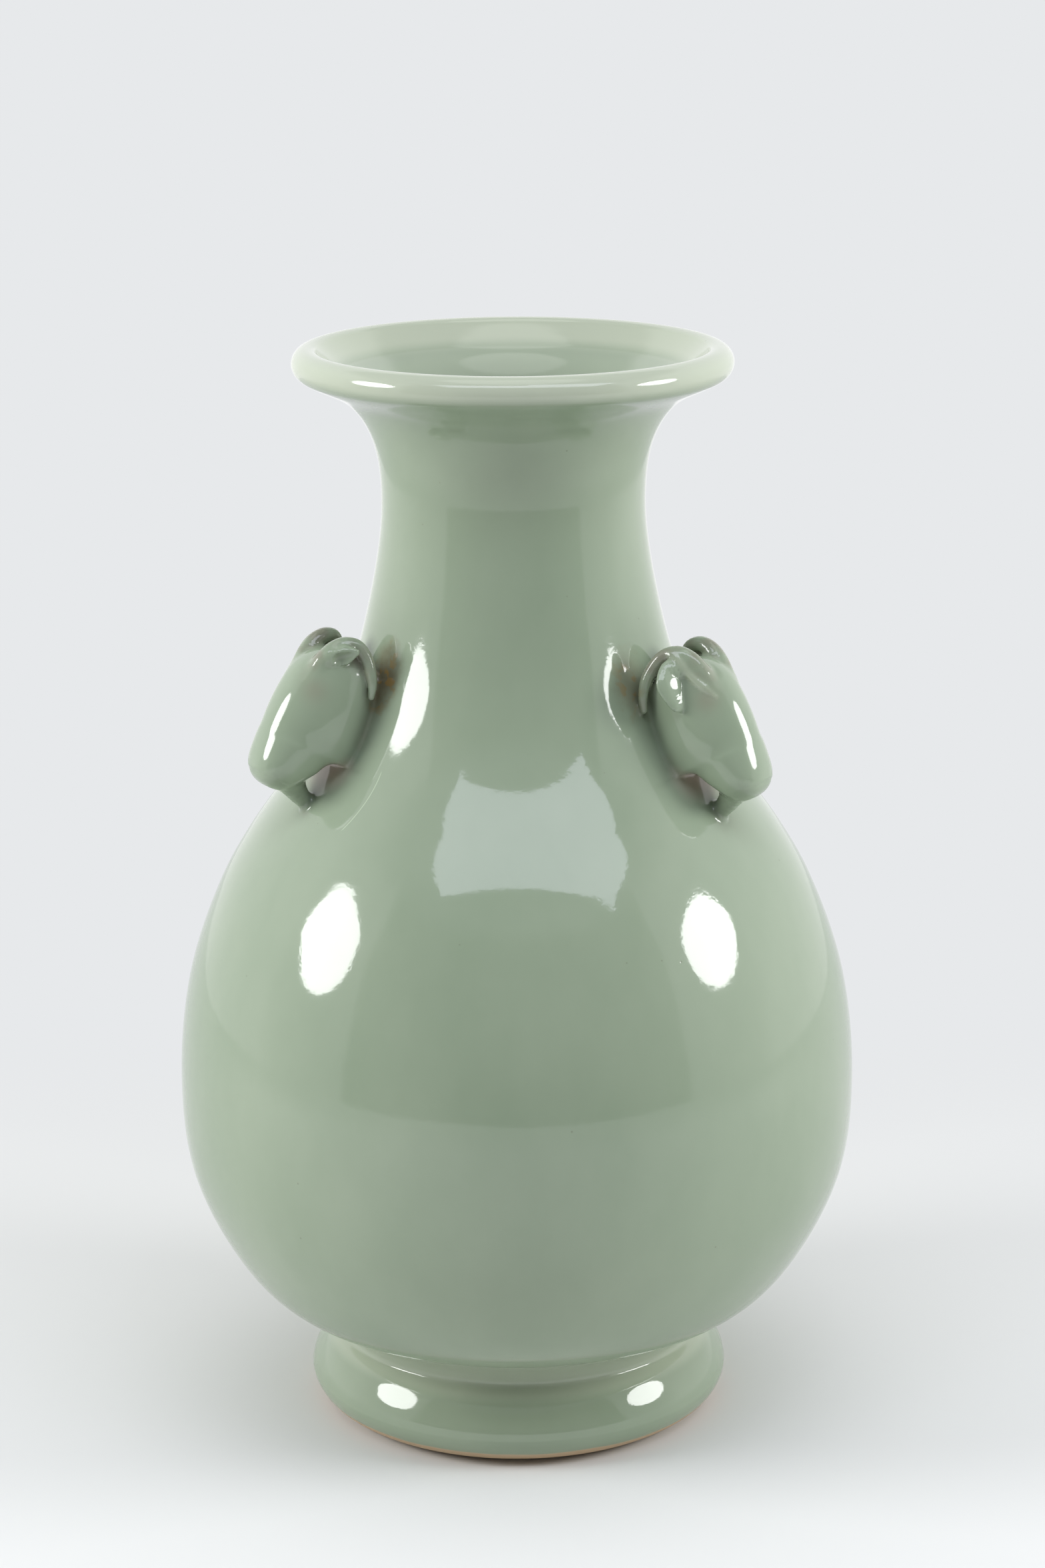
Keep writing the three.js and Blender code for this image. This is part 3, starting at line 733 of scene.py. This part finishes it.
white_board = bpy.data.materials.new("white_board")
white_board.use_nodes = True
board = white_board.node_tree
board.nodes.clear()
spot = node(board, "TexCoord", out="Object")
behind = node(board, "SeparateXYZ", (spot,), out="Y")
off_middle = node(board, "VectorMath", (spot,), operation="LENGTH", out="Value")
fade_behind = node(board, "MapRange", (behind, 0.08, 0.34), **SMOOTH)
fade_rim = node(board, "MapRange", (off_middle, 0.48, 0.9), **SMOOTH)
fade = node(board, "Math", (fade_behind, fade_rim), operation="MAXIMUM")
camera_ray = node(board, "LightPath", out="Is Camera Ray")
in_sight = node(board, "Math", (camera_ray, camera_ray.node.outputs["Is Glossy Ray"]),
                operation="MAXIMUM")
fade_in_sight = node(board, "Math", (fade, in_sight), **TIMES)
paint = node(board, "BsdfDiffuse", {"Color": srgb(BOARD_WHITE)})
backdrop = node(board, "Emission", {"Color": srgb(BACKGROUND), "Strength": 1})
node(board, "OutputMaterial", (node(board, "MixShader", (fade_in_sight, paint, backdrop)),))
table_mesh.materials.append(white_board)


# The room: pale panels to the sides and behind, a dim room in front, a grey ceiling and a white
# reflector straight above, all of which the glaze mirrors. The camera itself sees the backdrop.
# Round the vase, in degrees from the camera's side, and how bright the room is there
AROUND = ((-180, 1.1), (-100, 1.1), (-88, 0.84), (-60, 0.7), (-58.5, 0.1), (58.5, 0.1), (60, 0.7),
          (88, 0.84), (100, 1.1), (180, 1.1))
PANEL_TINT = (1, 1, 1.02)
CEILING = (0.4, 0.41, 0.43, 1)
REFLECTOR = (1.45, 1.45, 1.45, 1)
world = bpy.data.worlds.new("studio")
bpy.context.scene.world = world
world.use_nodes = True
room = world.node_tree
room.nodes.clear()
direction = node(room, "TexCoord", out="Generated")
across, away, upward = node(room, "SeparateXYZ", (direction,)).node.outputs
front = node(room, "Math", (away, -1.0), **TIMES)
azimuth = node(room, "Math", (across, front), operation="ARCTAN2")
turn = node(room, "Math", (azimuth, 1 / (2 * math.pi), 0.5), **TIMES_PLUS)
light = node(room, "ValToRGB", (turn,))
ramp = light.node.color_ramp
while len(ramp.elements) > 1:
    ramp.elements.remove(ramp.elements[-1])
for i, (degrees, value) in enumerate(AROUND):
    stop = ramp.elements[0] if i == 0 else ramp.elements.new(degrees / 360 + 0.5)
    stop.position = degrees / 360 + 0.5
    stop.color = (*[value * part for part in PANEL_TINT], 1)
for low, high, above in ((0.62, 0.72, CEILING), (0.93, 0.955, REFLECTOR)):
    share = node(room, "MapRange", (upward, low, high), **SMOOTH)
    light = node(room, "Mix", {0: share, 6: light, 7: above}, out=2, data_type="RGBA")
camera_ray = node(room, "LightPath", out="Is Camera Ray")
light = node(room, "Mix", {0: camera_ray, 6: light, 7: srgb(BACKGROUND)}, out=2, data_type="RGBA")
sky = node(room, "Background", {"Color": light, "Strength": 1})
node(room, "OutputWorld", (sky,))


# The lamps: an oval softbox at each side, and a window with two panes above and a little in front.
# The glaze mirrors them as the white patches on the belly, neck, foot and heads.
SOFTBOXES = (("left_softbox", 0.49, 0.42, -76.5, 23.7), ("right_softbox", 0.47, 0.37, 79.4, 22.4))
SOFTBOX_DISTANCE = 1.1
SOFTBOX_AIM = Vector((0, 0, 0.13))
SOFTBOX_RADIANCE = 13
PANES = ((-0.17, 0.24), (0.35, 0.31))
PANE_WIDTH = 0.56
WINDOW_FRONT = -0.62
WINDOW_HEIGHT = 0.9
WINDOW_RADIANCE = 3.3
DAYLIGHT = (0.94, 0.96, 1.12)


def lamp(name, shape, width, depth, radiance, colour, location):
    """An area lamp that faces down and is as bright as its radiance all over."""
    data = bpy.data.lights.new(name, "AREA")
    data.shape, data.size, data.size_y = shape, width, depth
    area = width * depth * (math.pi / 4 if shape == "ELLIPSE" else 1)
    data.energy = radiance * math.pi * area
    data.color = colour
    made = bpy.data.objects.new(name, data)
    made.location = location
    bpy.context.scene.collection.objects.link(made)
    return made


for name, width, tall, azimuth, elevation in SOFTBOXES:
    a, e = math.radians(azimuth), math.radians(elevation)
    out = Vector((math.sin(a) * math.cos(e), -math.cos(a) * math.cos(e), math.sin(e)))
    softbox = lamp(name, "ELLIPSE", width, tall, SOFTBOX_RADIANCE, (1, 1, 1),
                   SOFTBOX_AIM + out * SOFTBOX_DISTANCE)
    softbox.rotation_euler = (-out).to_track_quat("-Z", "Y").to_euler()
for middle, depth in PANES:
    lamp("window", "RECTANGLE", PANE_WIDTH, depth, WINDOW_RADIANCE, DAYLIGHT,
         (middle, WINDOW_FRONT + depth / 2, WINDOW_HEIGHT))


# The camera: on a stand a metre in front, a little above the lip and looking down on the vase, with
# a long lens. Its place and lens were fitted to the vase's outline in the photo.
PHOTO_HEIGHT = 2352
FOCAL_LENGTH_IN_PIXELS = 5501.06
SENSOR = 36
STAND = (0.002, -0.97535, 0.44224)
TILT = 0.264
ROLL = -0.00558
camera_data = bpy.data.cameras.new("camera")
camera_data.sensor_width = SENSOR
camera_data.lens = FOCAL_LENGTH_IN_PIXELS / PHOTO_HEIGHT * SENSOR
camera = bpy.data.objects.new("camera", camera_data)
camera.matrix_world = (Matrix.Translation(STAND) @ Matrix.Rotation(math.pi / 2 - TILT, 4, "X")
                       @ Matrix.Rotation(ROLL, 4, "Z"))
bpy.context.scene.collection.objects.link(camera)
bpy.context.scene.camera = camera
bpy.context.scene.view_settings.view_transform = "Standard"
